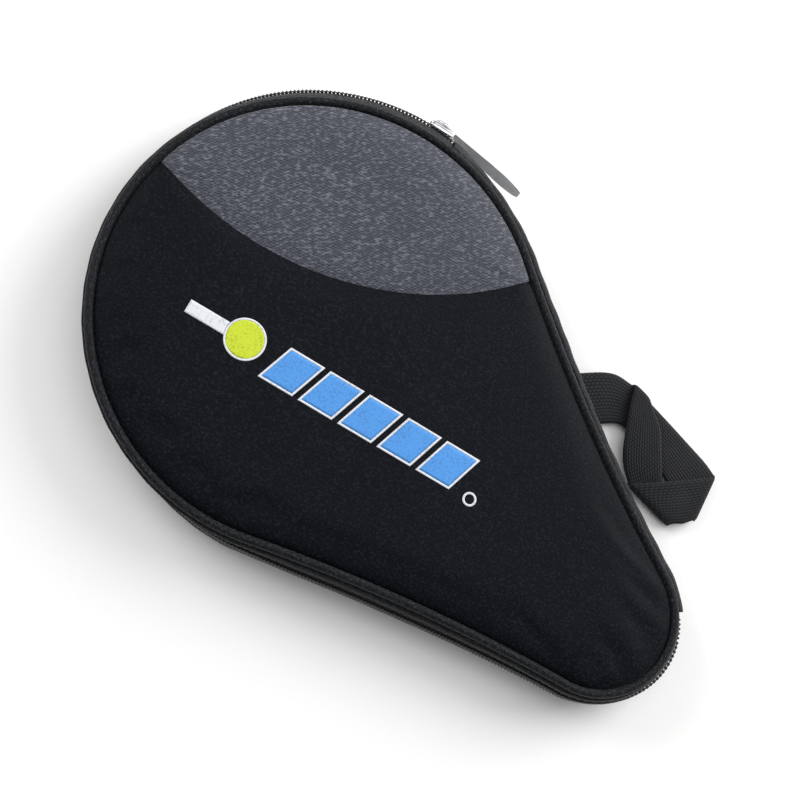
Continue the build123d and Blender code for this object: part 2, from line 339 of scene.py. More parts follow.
finishes = {name: wovenCloth(name, **look) for name, look in wovenLooks.items()}
finishes["webbing"] = ribbedWebbing("webbing")
finishes["sliderChrome"] = polishedMetal("sliderChrome", (226, 227, 230), 0.14, 0.15)
finishes["pullerSatin"] = polishedMetal("pullerSatin", (232, 233, 235), 0.36, 0.3, 0.12)
finishes["teeth"] = nylonTeeth("teeth")
finishes["thread"] = nylonTeeth("thread")
finishes["foam"] = foamSheet("foam")
finishes["inkBlue"] = screenPrint("inkBlue", (72, 142, 214), 0.5)
finishes["inkYellow"] = screenPrint("inkYellow", (190, 206, 40), 0.5)
finishes["inkPale"] = screenPrint("inkPale", (214, 216, 222), 0.5)
finishes["paper"] = paperFloor("paper")
print("materials made:", len(finishes))


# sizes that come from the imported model
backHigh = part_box("back_panel")[1]
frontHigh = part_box("front_main_panel")[1]
outline = {"tailRadius": 30.0, "flankRadius": 800.0, "zipStart": 99.0, "zipEnd": 46.0}
outline["headRadius"] = backHigh[1] / mm
outline["tailX"] = backHigh[0] / mm - outline["tailRadius"]
topZ = frontHigh[2] / mm
midZ = topZ / 2
shellRim = backHigh[2] / mm


def outlineAngles():
    head = outline["headRadius"] + outline["flankRadius"]
    tail = outline["tailRadius"] + outline["flankRadius"]
    cosine = (head**2 + outline["tailX"] ** 2 - tail**2) / (2 * head * outline["tailX"])
    alpha = math.acos(cosine)
    centre = (head * math.cos(alpha), head * math.sin(alpha))
    return alpha, math.atan2(centre[1], centre[0] - outline["tailX"]), centre


alpha, beta, flankCentre = outlineAngles()
zipStart = math.radians(outline["zipStart"])
zipEnd = math.radians(outline["zipEnd"])
legs = np.cumsum([
    0.0,
    outline["headRadius"] * (tau - alpha - zipStart),
    outline["flankRadius"] * (beta - alpha),
    outline["tailRadius"] * 2 * beta,
    outline["flankRadius"] * (beta - alpha),
    outline["headRadius"] * (zipStart - alpha),
])
aroundLength = legs[-1]
zipLength = legs[2] + outline["tailRadius"] * (beta + zipEnd)


# Panel edge at arc length s, anticlockwise from where the zip starts on the head: head arc, hollow
# flank, tail arc, hollow flank, head arc. Each arc is centre + radius * (cos, sin). Gives the point
# and the outward normal
def edgeAt(s):
    s = np.mod(np.asarray(s, float), aroundLength)
    leg = np.clip(np.searchsorted(legs, s, side="right") - 1, 0, 4)
    run = s - legs[leg]
    head, tail, flank = outline["headRadius"], outline["tailRadius"], outline["flankRadius"]
    angle = np.choose(leg, [
        zipStart + run / head, np.pi - alpha - run / flank, run / tail - beta,
        np.pi + beta - run / flank, alpha + run / head,
    ])
    radius = np.choose(leg, [head, flank, tail, flank, head])
    centreX = np.choose(leg, [0.0, flankCentre[0], outline["tailX"], flankCentre[0], 0.0])
    centreY = np.choose(leg, [0.0, -flankCentre[1], 0.0, flankCentre[1], 0.0])
    outward = np.choose(leg, [1.0, -1.0, 1.0, -1.0, 1.0])
    cosine, sine = np.cos(angle), np.sin(angle)
    return centreX + radius * cosine, centreY + radius * sine, outward * cosine, outward * sine


# How far inside the panel edge a point is, and the arc length of the nearest edge point. The rays
# from the flank's centre through the two arc centres divide the case into head, flank, tail
def edgeDistance(x, y):
    head, tail, flank = outline["headRadius"], outline["tailRadius"], outline["flankRadius"]
    fromFlank = np.mod(np.arctan2(np.abs(y) - flankCentre[1], x - flankCentre[0]), tau)
    inHead = fromFlank < np.pi + alpha
    inTail = fromFlank > np.pi + beta
    distance = np.hypot(x - flankCentre[0], np.abs(y) - flankCentre[1]) - flank
    distance = np.where(inHead, head - np.hypot(x, y), distance)
    distance = np.where(inTail, tail - np.hypot(x - outline["tailX"], y), distance)
    headTurn = np.mod(np.arctan2(y, x) - zipStart, tau)
    tailTurn = np.arctan2(y, x - outline["tailX"])
    zipSide = legs[1] + flank * (fromFlank - np.pi - alpha)
    hingeSide = legs[3] + flank * (np.pi + beta - fromFlank)
    along = np.where(y < 0, zipSide, hingeSide)
    along = np.where(inHead, head * headTurn, along)
    along = np.where(inTail, legs[2] + tail * (tailTurn + beta), along)
    return distance, along


# The wall is soft: how far it stands out or sags in, as (where, how far). Where is a share of the way
# round from the zip's start. 0.18 is the blunt end and 0.67 is the tail
puffed = {
    "zip": [
        (0.0, 5.6), (0.045, 5.0), (0.09, 3.8), (0.14, 1.0), (0.19, -2.2), (0.23, -3.6),
        (0.28, -4.8), (0.355, -5.2), (0.405, -0.8), (0.45, 1.8), (0.53, 2.0), (0.61, 0.6),
        (0.65, 0.4), (0.69, 4.2), (0.715, 1.6), (0.75, 0.0), (0.94, 0.0), (0.98, 2.6),
    ],
    "back": [
        (0.0, 0.0), (0.18, 0.0), (0.23, -2.0), (0.28, -4.0), (0.355, -4.6), (0.40, -0.6),
        (0.44, 1.8), (0.53, 2.4), (0.62, 0.2), (0.68, 1.0), (0.74, 0.0),
    ],
    "hinge": [(0.0, 0.0), (0.74, 0.0), (0.83, 0.6), (0.87, 1.4), (0.91, 1.0), (0.95, 0.0)],
    "blur": 0.035,        # share of the way round over which the steps are evened out
    "zipHeight": 6.5,     # half height of the part that stands out round the zip
    "hingeZ": 22.0,
    "hingeHeight": 4.5,
    "hingeTop": 4.2,      # the hinge side's own part stops this far under the front face
    "backLow": 5.0,
    "backTop": 13.0,      # the back shell's part fades out between these two heights
}


def smoothStep(value, low, high):
    t = np.clip((value - low) / (high - low), 0, 1)
    return t * t * (3 - 2 * t)


# Amounts at equal steps round the edge: straight lines between the set places, evened out by a moving
# average that runs through the start
def roundTable(steps, samples=720):
    place, amount = np.array(steps).T
    table = np.interp(np.arange(samples) / samples, np.append(place, 1.0), np.append(amount, amount[0]))
    reach = int(puffed["blur"] * samples)
    weight = np.hanning(2 * reach + 1)
    wrapped = np.concatenate([table[-reach:], table, table[:reach]])
    return np.convolve(wrapped, weight / weight.sum(), "valid")


puffTables = {name: roundTable(puffed[name]) for name in ("zip", "back", "hinge")}


def tableAt(name, s):
    table = puffTables[name]
    share = np.mod(np.asarray(s, float) / aroundLength, 1.0) * len(table)
    return np.interp(share, np.arange(len(table) + 1), np.append(table, table[0]))


# How far the soft wall stands out from a plain offset of the edge: a bell over the height for the
# zip, a higher bell for the hinge side, and a slow spread towards the floor for the back shell
def bulge(s, z):
    bell = np.exp(-(((z - midZ) / puffed["zipHeight"]) ** 4))
    high = np.exp(-(((z - puffed["hingeZ"]) / puffed["hingeHeight"]) ** 2)) * (z < topZ - puffed["hingeTop"])
    low = 1 - smoothStep(z, puffed["backLow"], puffed["backTop"])
    return tableAt("zip", s) * bell + tableAt("hinge", s) * high + tableAt("back", s) * low


# Points that stand off the panel edge: edge point + (offset + bulge) * normal, at height z. The front
# shell is the back shell turned over about mid height
def alongEdge(s, offset, z, upside=-1):
    x, y, nx, ny = edgeAt(s)
    s, offset, z = np.broadcast_arrays(np.asarray(s, float), offset, z)
    x, y, nx, ny = (np.broadcast_to(part, s.shape) for part in (x, y, nx, ny))
    z = topZ - z if upside > 0 else z
    offset = offset + bulge(s, z)
    return np.stack([x + nx * offset, y + ny * offset, z], axis=-1)


# Mesh from an array of points in millimetres and a list of faces, with its faces turned outwards
def makePiece(name, points, faces, finish, corners=None, smooth=True):
    mesh = bpy.data.meshes.new(name)
    mesh.from_pydata((np.asarray(points, float).reshape(-1, 3) * mm).tolist(), [], faces)
    if corners is not None:
        layer = mesh.uv_layers.new(name="along")
        layer.data.foreach_set("uv", (np.asarray(corners, float) * mm).ravel())
    mesh.validate()
    work = bmesh.new()
    work.from_mesh(mesh)
    bmesh.ops.recalc_face_normals(work, faces=work.faces)
    work.to_mesh(mesh)
    work.free()
    mesh.polygons.foreach_set("use_smooth", np.full(len(mesh.polygons), smooth))
    piece = bpy.data.objects.new(name, mesh)
    bpy.context.scene.collection.objects.link(piece)
    piece.data.materials.append(finishes[finish])
    return piece


# Four-cornered faces of a grid of vertex numbers
def gridFaces(index):
    corners = [index[:-1, :-1], index[1:, :-1], index[1:, 1:], index[:-1, 1:]]
    return np.stack(corners, axis=-1).reshape(-1, 4)


# A profile (second axis, always a closed ring) carried along a path (first axis). An open path gets a
# flat cap at each end. The UV map holds the length along the path and round the profile
def carried(name, points, finish, closed=False):
    rows, columns = points.shape[:2]
    index = np.arange(rows * columns).reshape(rows, columns)
    wide = np.concatenate([index, index[:, :1]], axis=1)
    if closed:
        wide = np.concatenate([wide, wide[:1]], axis=0)
    ring = np.concatenate([points, points[:, :1]], axis=1)
    ring = np.concatenate([ring, ring[:1]], axis=0) if closed else ring
    down = np.linalg.norm(np.diff(ring, axis=0), axis=-1).mean(axis=1)
    over = np.linalg.norm(np.diff(ring, axis=1), axis=-1).mean(axis=0)
    u = np.concatenate([[0.0], np.cumsum(down)])
    v = np.concatenate([[0.0], np.cumsum(over)])
    uv = np.stack(np.broadcast_arrays(u[:, None], v[None, :]), axis=-1)
    corners = np.stack([uv[:-1, :-1], uv[1:, :-1], uv[1:, 1:], uv[:-1, 1:]], axis=2).reshape(-1, 2)
    faces = gridFaces(wide).tolist()
    if not closed:
        faces += [index[0].tolist(), index[-1, ::-1].tolist()]
        corners = np.concatenate([corners, uv[0, :-1], uv[-1, :-1][::-1]])
    return makePiece(name, points, faces, finish, corners)


# Copies of a small shape set along the edge. Its own axes are outward, along and up
def repeated(name, unit, unitFaces, s, offset, height, finish):
    x, y, nx, ny = edgeAt(s)
    out = unit[:, 0] + offset + bulge(s, np.full(len(x), float(height)))[:, None]
    along = unit[:, 1]
    px = x[:, None] + nx[:, None] * out - ny[:, None] * along
    py = y[:, None] + ny[:, None] * out + nx[:, None] * along
    pz = np.broadcast_to(unit[:, 2] + height, px.shape)
    shifts = np.arange(len(x))[:, None, None] * len(unit)
    faces = []
    for group in unitFaces:
        faces += (np.asarray(group) + shifts).reshape(-1, group.shape[-1]).tolist()
    return makePiece(name, np.stack([px, py, pz], axis=-1), faces, finish)


# Superellipsoid: cosines and sines of latitude and longitude raised to a power, which squares the
# shape as the power falls below one. Gives points and its faces in two arrays, quads and caps
def pebble(size, rows=5, columns=6, square=1.0):
    latitude = np.linspace(-np.pi / 2, np.pi / 2, rows + 2)[1:-1, None]
    longitude = np.linspace(0, tau, columns, endpoint=False)[None, :]

    def power(value):
        return np.sign(value) * np.abs(value) ** square

    x = power(np.cos(latitude)) * power(np.cos(longitude))
    y = power(np.cos(latitude)) * power(np.sin(longitude))
    z = power(np.sin(latitude)) * np.ones_like(longitude)
    body = np.stack([x, y, z], axis=-1).reshape(-1, 3) * np.asarray(size) / 2
    poles = np.array([[0, 0, -size[2] / 2], [0, 0, size[2] / 2]])
    index = np.arange(rows * columns).reshape(rows, columns)
    quads = gridFaces(np.concatenate([index, index[:, :1]], axis=1))
    low = np.stack([np.full(columns, rows * columns), np.roll(index[0], -1), index[0]], axis=-1)
    high = np.stack([np.full(columns, rows * columns + 1), index[-1], np.roll(index[-1], -1)], axis=-1)
    return np.concatenate([body, poles]), [quads, np.concatenate([low, high])]


# Curve through given points: each span is a cubic whose slope at a point is half the step between
# its neighbours. Works on any number of columns
def smoothCurve(points, count):
    points = np.asarray(points, float)
    slope = np.gradient(points, axis=0)
    t = np.linspace(0, len(points) - 1, count)
    span = np.minimum(t.astype(int), len(points) - 2)
    f = (t - span).reshape((-1,) + (1,) * (points.ndim - 1))
    a, b, da, db = points[span], points[span + 1], slope[span], slope[span + 1]
    fromStart = (2 * f**3 - 3 * f**2 + 1) * a + (f**3 - 2 * f**2 + f) * da
    return fromStart + (3 * f**2 - 2 * f**3) * b + (f**3 - f**2) * db


# Closed profile of a folded cloth: the curve through the points, and the same curve moved sideways by
# the thickness, joined at both ends
def band(points, thickness, count):
    face = smoothCurve(points, count)
    step = np.gradient(face, axis=0)
    side = np.stack([-step[:, 1], step[:, 0]], axis=-1) / np.linalg.norm(step, axis=1)[:, None]
    return np.concatenate([face, (face + side * thickness)[::-1]])


# Applies a subdivision, if any, so that the mesh is final
def settle(piece, levels=0):
    if levels:
        fine = piece.modifiers.new("fine", "SUBSURF")
        fine.levels = levels
        fine.render_levels = levels
    graph = bpy.context.evaluated_depsgraph_get()
    shown = piece.evaluated_get(graph)
    done = bpy.data.meshes.new_from_object(shown, preserve_all_data_layers=True, depsgraph=graph)
    old = piece.data
    piece.modifiers.clear()
    piece.data = done
    bpy.data.meshes.remove(old)
    return piece


# Files a finished piece: the body it moves with, and the CAD nodes it stands for
def own(piece, body, slot, *nodes):
    if isinstance(body, str):
        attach(piece, body)
    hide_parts(*nodes)
    return piece


# The front shell is the back shell turned over about mid height
def mirrored(points):
    flipped = points.copy()
    flipped[..., 2] = topZ - flipped[..., 2]
    return flipped


seam = {"centre": (-76.3, 132.5), "radius": 135.5, "valley": 0.75, "valleyWidth": 1.5, "gap": 0.08}
pad = {
    "cells": 88,          # intervals on each side of the square grid
    "crowd": 1.5,         # more than 1 crowds the rings towards the rim
    "rollWidth": 8.5,     # how far the padded edge takes to level out
    "rollPower": 2.3,
    "crown": 1.3,         # extra height in the middle
    "crownReach": 34.0,
    "skin": 1.0,
    "rimHeight": 1.3,
    "lowered": 0.35,      # the front starts this much lower, as the crown is added to it
    "pucker": 0.10,       # gathers where the edge is sewn to the piping
    "puckerPitch": 4.2,
    "pressure": 4.0,
    "frames": 20,
    "swell": 1.1,         # furthest that the cloth may move
}

# Soft creases pressed into the front near the tail: start, end, depth, width
creases = [
    ((168.7, -25.5), (166.6, -5.0), 0.42, 1.7),
    ((176.4, -22.5), (175.2, 1.5), 0.34, 1.6),
    ((159.6, -26.0), (161.4, -9.0), 0.26, 1.8),
    ((184.5, -14.0), (181.0, 4.0), 0.20, 1.7),
]


# Each crease is a bell across a short line, strongest at the line's middle
def creaseDepth(x, y):
    total = np.zeros_like(x)
    for (ax, ay), (bx, by), depth, width in creases:
        length = math.hypot(bx - ax, by - ay)
        t = ((x - ax) * (bx - ax) + (y - ay) * (by - ay)) / length**2
        away = np.abs((x - ax) * (by - ay) - (y - ay) * (bx - ax)) / length
        past = np.clip(np.abs(t - 0.5) - 0.3, 0, None)
        total += depth * np.exp(-((away / width) ** 2)) * np.exp(-((past / 0.22) ** 2))
    return total


def plainEdge(along):
    return 0.0 * along


def backSpread(along):
    return bulge(along, 1.5 + 0.0 * along)


# Height of the puffed cloth above the rim: a superellipse quarter over the edge distance, a crown
# that grows slowly inwards and small gathers at the rim. The valley along the panel seam is added in makePad
def faceHeight(x, y, spread=plainEdge):
    distance, along = edgeDistance(x, y)
    distance = np.maximum(distance + spread(along), 0.0)
    inward = np.clip(distance / pad["rollWidth"], 0.0, 1.0)
    roll = (1 - (1 - inward) ** pad["rollPower"]) ** (1 / pad["rollPower"])
    crown = pad["crown"] * (1 - np.exp(-distance / pad["crownReach"]))
    gathers = np.sin(tau * along / pad["puckerPitch"] + 1.7 * np.sin(along / 9.0)) * np.exp(-distance / 2.6)
    gathers = gathers * np.clip(distance, 0, 1) * (0.6 + 0.4 * np.sin(along / 17.0))
    waves = 0.16 * np.sin(x / 19.0 + 0.7 * np.sin(y / 23.0)) * np.sin(y / 16.0 + 0.4)
    return roll, crown * roll, pad["pucker"] * gathers + waves * roll


# One closed line of rim points from several open runs, each an array of points whose last point is
# the next run's first
def rimOf(pieces):
    return np.concatenate([run[:-1] for run in pieces])


# Position of each grid point as ring (0 at the middle, 1 on the rim) and place round the rim in
# cells, counted round the square's perimeter
def squareGrid(cells):
    u, v = np.meshgrid(np.linspace(-1, 1, cells + 1), np.linspace(-1, 1, cells + 1), indexing="ij")
    ring = np.maximum(np.abs(u), np.abs(v))
    safe = np.where(ring > 0, ring, 1.0)
    a, b = u / safe, v / safe
    sides = [(a + 1) / 2, 1 + (b + 1) / 2, 2 + (1 - a) / 2]
    side = np.select([b <= -1, a >= 1, b >= 1], sides, 3 + (1 - b) / 2)
    return ring, np.mod(side, 4.0) * cells


# Rings shrink from the rim to a centre that sees all of it: centre + ring * (rim - centre)
def padGrid(rim, centre, cells):
    ring, place = squareGrid(cells)
    ring = 1 - (1 - ring) ** pad["crowd"]
    closedRim = np.concatenate([rim, rim[:1]])
    steps = np.arange(len(closedRim))
    x = np.interp(place, steps, closedRim[:, 0])
    y = np.interp(place, steps, closedRim[:, 1])
    return centre[0] + ring * (x - centre[0]), centre[1] + ring * (y - centre[1])


# Points and faces of a closed pad whose two grids share their rim
def twoFaced(top, bottom):
    size = top.shape[0]
    upper = np.arange(size * size).reshape(size, size)
    lower = upper.copy()
    lower[1:-1, 1:-1] = size * size + np.arange((size - 2) ** 2).reshape(size - 2, size - 2)
    points = np.concatenate([top.reshape(-1, 3), bottom[1:-1, 1:-1].reshape(-1, 3)])
    faces = np.concatenate([gridFaces(upper), gridFaces(lower)[:, ::-1]])
    inside = np.zeros((size, size), bool)
    inside[1:-1, 1:-1] = True
    free = np.concatenate([inside.ravel(), np.zeros((size - 2) ** 2, bool)])
    return points, faces.tolist(), free


# Blows the pad up as cloth, with its rim and its inner face held, and keeps each point's movement
# under the cap by shortening it smoothly: cap * tanh(move / cap)
def inflate(piece, free):
    start = np.empty(len(piece.data.vertices) * 3)
    piece.data.vertices.foreach_get("co", start)
    held = piece.vertex_groups.new(name="held")
    held.add(np.flatnonzero(~free).tolist(), 1.0, "REPLACE")
    cloth = piece.modifiers.new("cloth", "CLOTH")
    cloth.settings.vertex_group_mass = "held"
    cloth.settings.use_pressure = True
    cloth.settings.uniform_pressure_force = pad["pressure"]
    cloth.settings.effector_weights.gravity = 0.0
    cloth.settings.quality = 4
    cloth.settings.tension_stiffness = 12
    cloth.settings.bending_stiffness = 0.6
    cloth.point_cache.frame_start = 1
    cloth.point_cache.frame_end = pad["frames"]
    scene = bpy.context.scene
    for step in range(pad["frames"]):
        scene.frame_set(step + 1)
    graph = bpy.context.evaluated_depsgraph_get()
    done = np.empty_like(start)
    piece.evaluated_get(graph).data.vertices.foreach_get("co", done)
    piece.modifiers.remove(cloth)
    piece.vertex_groups.clear()
    scene.frame_set(1)
    move = (done - start).reshape(-1, 3)
    reach = np.linalg.norm(move, axis=1)[:, None] + 1e-9
    cap = pad["swell"] * mm
    move = move / reach * cap * np.tanh(reach / cap)
    move[~free] = 0
    piece.data.vertices.foreach_set("co", start + move.ravel())
    piece.data.update()
    print("  largest move of", piece.name, round(float(np.abs(move).max()) / mm, 2), "mm")


def outlineRun(first, last, count, inset=0.0, upside=1):
    return alongEdge(np.linspace(first, last, count + 1), -inset, 1.5, upside)[:, :2]


# Arc lengths on the edge, and angles on the seam's circle, where the two lines cross: the first and
# last places on the edge whose distance to the seam's centre is the seam's radius
def seamEnds():
    s = np.linspace(0, aroundLength, 40001)
    x, y, _, _ = edgeAt(s)
    past = np.hypot(x - seam["centre"][0], y - seam["centre"][1]) - seam["radius"]
    at = np.flatnonzero(np.sign(past[:-1]) != np.sign(past[1:]))
    ends = s[at] - past[at] * (s[at + 1] - s[at]) / (past[at + 1] - past[at])
    x, y, _, _ = edgeAt(ends)
    return ends, np.arctan2(y - seam["centre"][1], x - seam["centre"][0])


def seamRun(radius, first, last, count):
    angle = np.linspace(first, last, count + 1)
    points = np.stack([np.cos(angle), np.sin(angle)], axis=-1) * radius + np.array(seam["centre"])
    return points


# One padded panel. The outer grid takes faceHeight, and the inner one lies a skin's thickness under
# it. The flat panel is the back one, which lies on the table and is turned over
def makePad(name, rim, centre, cells, finish, body, slot, node, flat=False):
    x, y = padGrid(rim, centre, cells)
    roll, crown, small = faceHeight(x, y, backSpread if flat else plainEdge)
    rise = shellRim - pad["rimHeight"] - (0.0 if flat else pad["lowered"])
    height = pad["rimHeight"] + rise * roll
    if not flat:
        fromSeam = np.hypot(x - seam["centre"][0], y - seam["centre"][1]) - seam["radius"]
        valley = seam["valley"] * np.exp(-np.abs(fromSeam / seam["valleyWidth"]))
        height = height + crown + small - creaseDepth(x, y) - valley
    else:
        height = height + np.minimum(small, 0.0)
    inner = np.maximum(height - pad["skin"], 0.3)
    top = np.stack([x, y, topZ - shellRim + height], axis=-1)
    bottom = np.stack([x, y, topZ - shellRim + inner], axis=-1)
    points, faces, free = twoFaced(top, bottom)
    points = mirrored(points) if flat else points
    piece = makePiece(name, points, faces, finish)
    inflate(piece, free)
    if flat:
        place = np.empty(len(piece.data.vertices) * 3)
        piece.data.vertices.foreach_get("co", place)
        place[2::3] = np.maximum(place[2::3], 0.0)
        piece.data.vertices.foreach_set("co", place)
    settle(piece, 1)
    own(piece, body, slot, node)
    return piece


def makePanels():
    cells = pad["cells"]
    (startEnd, finishEnd), (startAngle, finishAngle) = seamEnds()
    half = seam["gap"] / 2
    # each front panel goes round the edge from one end of the seam to the other, and back along it
    around = outlineRun(startEnd, finishEnd, 3 * cells)
    back = seamRun(seam["radius"] + half, finishAngle, startAngle, cells)
    back[0], back[-1] = around[-1], around[0]
    main = makePad(
        "frontMainPanel", rimOf([around, back]), (30.0, -30.0), cells, "shellBlack", "lid",
        "shell_cloth", "front_main_panel",
    )
    around = outlineRun(finishEnd, startEnd + aroundLength, 2 * cells)
    back = seamRun(seam["radius"] - half, startAngle, finishAngle, 2 * cells)
    back[0], back[-1] = around[-1], around[0]
    makePad(
        "frontUpperPanel", rimOf([around, back]), (-22.0, 40.0), cells, "shellGrey", "lid",
        "shell_cloth_grey", "front_upper_panel",
    )
    whole = outlineRun(0.0, aroundLength, 4 * cells, 0.0, -1)
    makePad(
        "backPanel", whole[:-1], (40.0, 0.0), cells, "shellBlack", "base",
        "shell_cloth", "back_panel", flat=True,
    )
    return main


mainPanel = makePanels()
print("panels made")


inside = {
    "cells": 56,
    "middle": (40.0, 0.0),
    "foamInset": 1.3,
    "foamTop": 5.0,
    "liningInset": 1.2,
    "liningTop": 5.75,
    "liningThick": 0.65,
    "quilt": 0.22,        # how far the lining stands up between its seams
    "quiltPitch": 24.0,
}


# Foam sheet: its outer face follows the panel a skin lower, and its inner face is flat
def makeFoam(name, upside, body, node):
    rim = outlineRun(0.0, aroundLength, 4 * inside["cells"], inside["foamInset"], upside)[:-1]
    x, y = padGrid(rim, inside["middle"], inside["cells"])
    roll, _, _ = faceHeight(x, y, spread=backSpread if upside < 0 else plainEdge)
    rise = shellRim - pad["rimHeight"] - pad["lowered"]
    outer = pad["rimHeight"] + rise * roll - pad["skin"] - 0.75
    outer = np.maximum(outer, 0.9)
    top = np.stack([x, y, topZ - shellRim + outer], axis=-1)
    bottom = np.stack([x, y, np.full_like(x, topZ - inside["foamTop"])], axis=-1)
    points, faces, _ = twoFaced(top, bottom)
    points = points if upside > 0 else mirrored(points)
    foam = makePiece(name, points, faces, "foam")
    own(foam, body, "foam", node)


# Thin lining over the foam, sewn down in soft diamonds: the lower of two sine waves set across each
# other
def makeLining(name, upside, body, node):
    rim = outlineRun(0.0, aroundLength, 4 * inside["cells"], inside["liningInset"], upside)[:-1]
    x, y = padGrid(rim, inside["middle"], inside["cells"])
    distance = np.maximum(edgeDistance(x, y)[0], 0.0)
    a = np.abs(np.sin(np.pi * (x + y) / inside["quiltPitch"]))
    b = np.abs(np.sin(np.pi * (x - y) / inside["quiltPitch"]))
    puff = inside["quilt"] * np.minimum(a, b) ** 0.5 * np.clip(distance / 6, 0, 1)
    low = np.full_like(x, topZ - inside["liningTop"] + inside["liningThick"])
    bottom = np.stack([x, y, low - inside["liningThick"] - puff], axis=-1)
    points, faces, _ = twoFaced(np.stack([x, y, low], axis=-1), bottom)
    points = points if upside > 0 else mirrored(points)
    lining = makePiece(name, points, faces, "liningCloth")
    settle(lining, 1)
    own(lining, body, "lining", node)


makeFoam("frontFoam", 1, "lid", "front_foam")
makeFoam("backFoam", -1, "base", "back_foam")
makeLining("frontLining", 1, "lid", "front_lining")
makeLining("backLining", -1, "base", "back_lining")
print("foam and lining made")


piping = {"radius": 1.8, "offset": 1.9, "height": 4.0, "gather": 0.10, "pitch": 3.4}


# Round cord in a cloth sleeve: a circle carried round the edge. Its radius dips a little at each
# stitch, on the side that is sewn down
def makePiping(name, body, node, upside):
    s = np.linspace(0, aroundLength, 760, endpoint=False)[:, None]
    t = np.linspace(0, tau, 16, endpoint=False)[None, :]
    stitch = 0.5 + 0.5 * np.cos(tau * s / piping["pitch"] + np.sin(s / 11.0))
    sewn = 0.5 - 0.5 * np.sin(t)
    radius = piping["radius"] * (1 - piping["gather"] * (0.35 + 0.65 * sewn) * stitch)
    out = piping["offset"] + radius * np.cos(t)
    points = alongEdge(s, out, piping["height"] - radius * np.sin(t), upside)
    piece = carried(name, points, "wallBlack", closed=True)
    own(piece, body, "piping", node)


makePiping("backPiping", "base", "back_piping", -1)
makePiping("frontPiping", "lid", "front_piping", 1)
print("piping made")


wall = {
    # offset from the panel edge and height, from the sewn-in flange outwards and up
    "bandLine": [
        (-1.2, 6.15), (1.4, 6.0), (3.3, 5.95), (4.5, 6.5), (4.95, 7.7), (4.75, 9.0), (4.2, 10.0),
    ],
    "bandThick": 0.8,
    "tapeLine": [(3.35, 9.2), (3.9, 10.2), (4.35, 12.0), (4.45, 14.9)],
    "tapeThick": 0.7,
    "slack": 0.06,
    "slackPitch": 13.0,
    "stitchHeight": 8.9,
    "stitchPitch": 3.0,
    "stitchSize": (0.42, 2.1, 0.42),
}
coil = {
    "pitch": 1.5,
    "tooth": (1.5, 1.25, 3.6),
    "offset": 4.95,
    "height": 13.45,
    "cordRadius": 0.28,
    "cordOffset": 5.3,
    "cordHeight": 12.5,
}
endTab = {"length": 9.0, "offset": 6.2, "height": 11.6, "halfOut": 0.62, "halfUp": 2.3}
gusset = {
    "line": [
        (-1.2, 6.15), (1.4, 6.0), (3.3, 5.95), (4.6, 6.6), (5.1, 8.4), (5.15, 11.4),
        (5.0, 15.0), (5.6, 18.6), (6.5, 21.2), (6.5, 23.0), (5.2, 24.6), (3.9, 25.1),
        (3.4, 24.3), (1.4, 24.0), (-1.2, 23.85),
    ],
    "thick": 0.8,
    "slack": 0.12,
    "bendLow": 12.3,
    "bendHigh": 17.7,
}


# Folded strip of cloth carried along the edge. It slackens a little, now and then, along its length
def bandPoints(line, thickness, count, first, last, rows, upside=-1, slack=0.0):
    profile = band(line, thickness, count)
    s = np.linspace(first, last, rows)[:, None]
    lift = np.clip((profile[:, 0] - 3.4) / 1.2, 0, 1)[None, :]
    slack = slack * (np.sin(tau * s / wall["slackPitch"]) + 0.6 * np.sin(s / 5.3 + 1.0)) * lift
    return alongEdge(s, profile[None, :, 0] + slack, profile[None, :, 1] + 0 * s, upside)


# One half of the side wall on the zip's side: cloth band, tape, teeth, sewing thread and stitches
def makeWalls(side, body, upside):
    reach = (0.0, zipLength, 520)
    points = bandPoints(wall["bandLine"], wall["bandThick"], 11, *reach, upside, wall["slack"])
    own(carried(side + "WallBand", points, "wallBlack"), body, "zip_tape", side + "_zip_tape")
    points = bandPoints(wall["tapeLine"], wall["tapeThick"], 6, *reach, upside)
    own(carried(side + "ZipTape", points, "zipTapeCloth"), body, "zip_tape", side + "_zip_tape")
    count = int(zipLength / coil["pitch"])
    shift = 0.25 if upside > 0 else 0.75
    s = (np.arange(count) + shift) * coil["pitch"]
    unit, faces = pebble(coil["tooth"], rows=4, columns=6, square=0.8)
    height = topZ - coil["height"] if upside > 0 else coil["height"]
    teeth = repeated(side + "ZipTeeth", unit, faces, s, coil["offset"], height, "teeth")
    own(teeth, body, "zip_coil", side + "_zip_coil")
    # the thread that holds the row of teeth to the tape lies across every tooth
    row = np.linspace(0.5, zipLength - endTab["length"] - 1.0, 660)[:, None]
    t = np.linspace(0, tau, 6, endpoint=False)[None, :]
    out = coil["cordOffset"] + 0.32 * np.cos(tau * (row / coil["pitch"] - shift)) + coil["cordRadius"] * np.cos(t)
    cord = alongEdge(row, out, coil["cordHeight"] + coil["cordRadius"] * np.sin(t), upside)
    own(carried(side + "CoilThread", cord, "thread"), body, "zip_coil")
    height = topZ - wall["stitchHeight"] if upside > 0 else wall["stitchHeight"]
    s = np.arange(wall["stitchPitch"] / 2, zipLength if upside > 0 else aroundLength, wall["stitchPitch"])
    offset = np.where(s < zipLength, 4.78, 5.12)[:, None]
    unit, faces = pebble(wall["stitchSize"], rows=3, columns=6)
    own(repeated(side + "BandStitches", unit, faces, s, offset, height, "thread"), body, "zip_tape")


makeWalls("back", "base", -1)
makeWalls("front", "lid", 1)


# Hinge-side wall: one bowed strip from flange to flange
def makeGusset():
    reach = (zipLength, aroundLength, 230)
    points = bandPoints(gusset["line"], gusset["thick"], 50, *reach, -1, gusset["slack"])
    piece = carried("hingeGusset", points, "wallBlack")
    own(piece, None, "gusset_cloth", "gusset_lower", "gusset_flex", "gusset_upper")
    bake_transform(piece)


